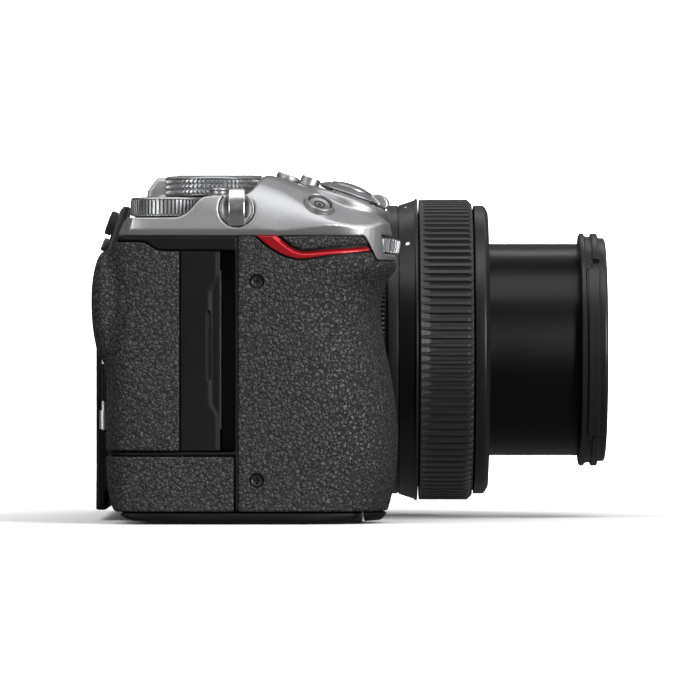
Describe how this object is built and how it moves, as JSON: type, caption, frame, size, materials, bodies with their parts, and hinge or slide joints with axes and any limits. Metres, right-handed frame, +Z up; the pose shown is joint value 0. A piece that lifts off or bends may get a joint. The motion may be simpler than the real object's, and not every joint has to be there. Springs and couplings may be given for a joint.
{
  "type": "mirrorless camera",
  "caption": "Compact mirrorless camera with silver top cover, pebbled grip with a red accent strip, knurled control dials and an extended compact zoom lens.",
  "frame": {"origin": "mouth of the tripod socket in the underside of the base, under the lens axis and just in front of the sensor", "axes": "+X the way the lens points, +Z up, -Y towards the grip side"},
  "size_m": [0.1128, 0.1278, 0.0763],
  "materials": {
    "silver_paint": "satin fine grain",
    "silver_knob": "satin knurled",
    "chrome": "polished",
    "steel": "satin",
    "black_steel": "satin black",
    "leatherette": "pebbled",
    "red_anodised": "anodised red",
    "black_plastic": "fine matte",
    "dark_plastic": "matte",
    "rubber": "matte",
    "screen_glass": "gloss",
    "magnesium": "cast",
    "board": "satin",
    "lens_black": "satin black",
    "brass": "turned",
    "lens_glass": "coated"
  },
  "bodies": {
    "camera": {"top_cover": "silver_paint", "base_plate": "black_plastic", "grip_skin": "leatherette", "red_accent": "red_anodised", "body_skins": "leatherette", "front_shell": "black_plastic", "rear_shell": "black_plastic", "rear_panel": "black_plastic", "chassis": "magnesium", "tripod_socket": "steel", "feet": "rubber", "mount_ring": "steel", "case_screws": "steel", "grip_screws": "black_steel", "strap_lugs": "chrome", "hot_shoe": "steel", "fn_bezel": "chrome", "card_slots": "steel", "battery": "dark_plastic", "port_block": "dark_plastic", "sensor_unit": "dark_plastic", "shutter_unit": "dark_plastic", "main_board": "board", "lens_bayonet": "steel", "rear_barrel": "lens_black", "middle_barrel": "lens_black", "front_sleeve": "lens_black", "rear_cell": "dark_plastic"},
    "mode": {"mode_dial": "silver_knob"},
    "thumb_wheel": {"rear_dial": "silver_knob"},
    "finger_wheel": {"front_dial": "silver_knob"},
    "power": {"power_lever": "silver_knob"},
    "release": {"shutter_button": "silver_knob"},
    "record": {"record_button": "silver_knob"},
    "flat": {"flat_button": "silver_knob"},
    "lock": {"lock_button": "silver_knob"},
    "function": {"fn_button": "silver_knob"},
    "stick": {"thumb_stick": "black_plastic"},
    "menu": {"rear_button": "black_plastic"},
    "wheel": {"rear_wheel": "black_plastic"},
    "carrier": {"door_carrier": "steel"},
    "door": {"card_door": "black_plastic", "door_skin": "leatherette"},
    "bay_door": {"battery_door": "black_plastic"},
    "latch": {"battery_latch": "black_plastic"},
    "ports": {"port_cover": "rubber"},
    "bracket": {"tilt_bracket": "steel"},
    "screen": {"screen_frame": "black_plastic", "screen_glass": "screen_glass"},
    "blades": {"shutter_blades": "black_steel"},
    "control": {"control_ring": "lens_black"},
    "zoom": {"zoom_ring": "lens_black", "cam_tube": "brass"},
    "barrel": {"inner_barrel": "lens_black", "filter_ring": "lens_black", "name_ring": "lens_black", "front_glass": "lens_glass", "iris_unit": "dark_plastic"},
    "focus": {"focus_group": "dark_plastic"},
    "lens_release": {"lens_button": "black_plastic"}
  },
  "joints": [
    {"name": "mode_dial_turn", "type": "hinge", "parent": "camera", "child": "mode", "pos_m": [-0.0059, -0.04, 0.072], "axis": [0, 0, 1], "continuous": true},
    {"name": "rear_dial_turn", "type": "hinge", "parent": "camera", "child": "thumb_wheel", "pos_m": [-0.0152, -0.058, 0.067], "axis": [0, 0, 1], "continuous": true},
    {"name": "front_dial_turn", "type": "hinge", "parent": "camera", "child": "finger_wheel", "pos_m": [0.0267, -0.053, 0.05875], "axis": [0.1392, 0, 0.9903], "continuous": true},
    {"name": "power_lever_turn", "type": "hinge", "parent": "camera", "child": "power", "pos_m": [0.02338, -0.055, 0.06874], "axis": [0.3256, 0, 0.9455], "range_deg": [0, 35]},
    {"name": "shutter_press", "type": "slide", "parent": "camera", "child": "release", "axis": [0.3256, 0, 0.9455], "range_m": [-0.0008, 0], "stiffness_N_per_m": 300, "springref_m": 0.0004},
    {"name": "record_press", "type": "slide", "parent": "camera", "child": "record", "axis": [0.3256, 0, 0.9455], "range_m": [-0.0005, 0], "stiffness_N_per_m": 300, "springref_m": 0.0004},
    {"name": "flat_press", "type": "slide", "parent": "camera", "child": "flat", "axis": [0.3256, 0, 0.9455], "range_m": [-0.00035, 0], "stiffness_N_per_m": 300, "springref_m": 0.0004},
    {"name": "lock_press", "type": "slide", "parent": "camera", "child": "lock", "axis": [0, 0, 1], "range_m": [-0.0003, 0], "stiffness_N_per_m": 300, "springref_m": 0.0004},
    {"name": "function_press", "type": "slide", "parent": "camera", "child": "function", "axis": [0.2725, -0.547, 0.7915], "range_m": [-0.0006, 0], "stiffness_N_per_m": 300, "springref_m": 0.0004},
    {"name": "stick_tilt", "type": "hinge", "parent": "camera", "child": "stick", "pos_m": [-0.02412, -0.04, 0.06321], "axis": [0, 1, 0], "range_deg": [-8, 8], "stiffness_Nm_per_rad": 0.02},
    {"name": "rear_button_press", "type": "slide", "parent": "camera", "child": "menu", "axis": [-0.936, 0, 0.352], "range_m": [-0.0005, 0], "stiffness_N_per_m": 300, "springref_m": 0.0004},
    {"name": "rear_wheel_turn", "type": "hinge", "parent": "camera", "child": "wheel", "pos_m": [-0.0288, -0.0485, 0.03], "axis": [-1, 0, 0], "continuous": true},
    {"name": "card_door_slide", "type": "slide", "parent": "camera", "child": "carrier", "axis": [-1, 0, 0], "range_m": [0, 0.003]},
    {"name": "card_door_swing", "type": "hinge", "parent": "carrier", "child": "door", "pos_m": [-0.029, -0.06, 0.037], "axis": [0, 0, -1], "range_deg": [0, 85]},
    {"name": "battery_door_swing", "type": "hinge", "parent": "camera", "child": "bay_door", "pos_m": [0.014, -0.0472, 0.00115], "axis": [1, 0, 0], "range_deg": [0, 90]},
    {"name": "battery_latch_slide", "type": "slide", "parent": "bay_door", "child": "latch", "axis": [0, -1, 0], "range_m": [0, 0.0015]},
    {"name": "port_cover_swing", "type": "hinge", "parent": "camera", "child": "ports", "pos_m": [-0.0034, 0.0532, 0.042], "axis": [0, 0, -1], "range_deg": [0, 100]},
    {"name": "bracket_swing", "type": "hinge", "parent": "camera", "child": "bracket", "pos_m": [-0.0273, 0, 0.0035], "axis": [0, -1, 0], "range_deg": [0, 45]},
    {"name": "screen_swing", "type": "hinge", "parent": "bracket", "child": "screen", "pos_m": [-0.0306, 0, 0.0542], "axis": [0, 1, 0], "range_deg": [0, 100]},
    {"name": "blades_slide", "type": "slide", "parent": "camera", "child": "blades", "axis": [0, 0, -1], "range_m": [0, 0.0245]},
    {"name": "control_ring_turn", "type": "hinge", "parent": "camera", "child": "control", "pos_m": [0.028, 0, 0.0371], "axis": [1, 0, 0], "continuous": true},
    {"name": "zoom_ring_turn", "type": "hinge", "parent": "camera", "child": "zoom", "pos_m": [0.045, 0, 0.0371], "axis": [1, 0, 0], "range_deg": [0, 80]},
    {"name": "barrel_slide", "type": "slide", "parent": "camera", "child": "barrel", "axis": [1, 0, 0], "range_m": [-0.0195, 0]},
    {"name": "focus_slide", "type": "slide", "parent": "camera", "child": "focus", "axis": [1, 0, 0], "range_m": [-0.003, 0.003]},
    {"name": "lens_release_press", "type": "slide", "parent": "camera", "child": "lens_release", "axis": [1, 0, 0], "range_m": [-0.0012, 0], "stiffness_N_per_m": 300, "springref_m": 0.0004}
  ],
  "couplings": [
    {"joint": "barrel_slide", "follows": "zoom_ring_turn", "m_per_rad": -0.01396}
  ]
}
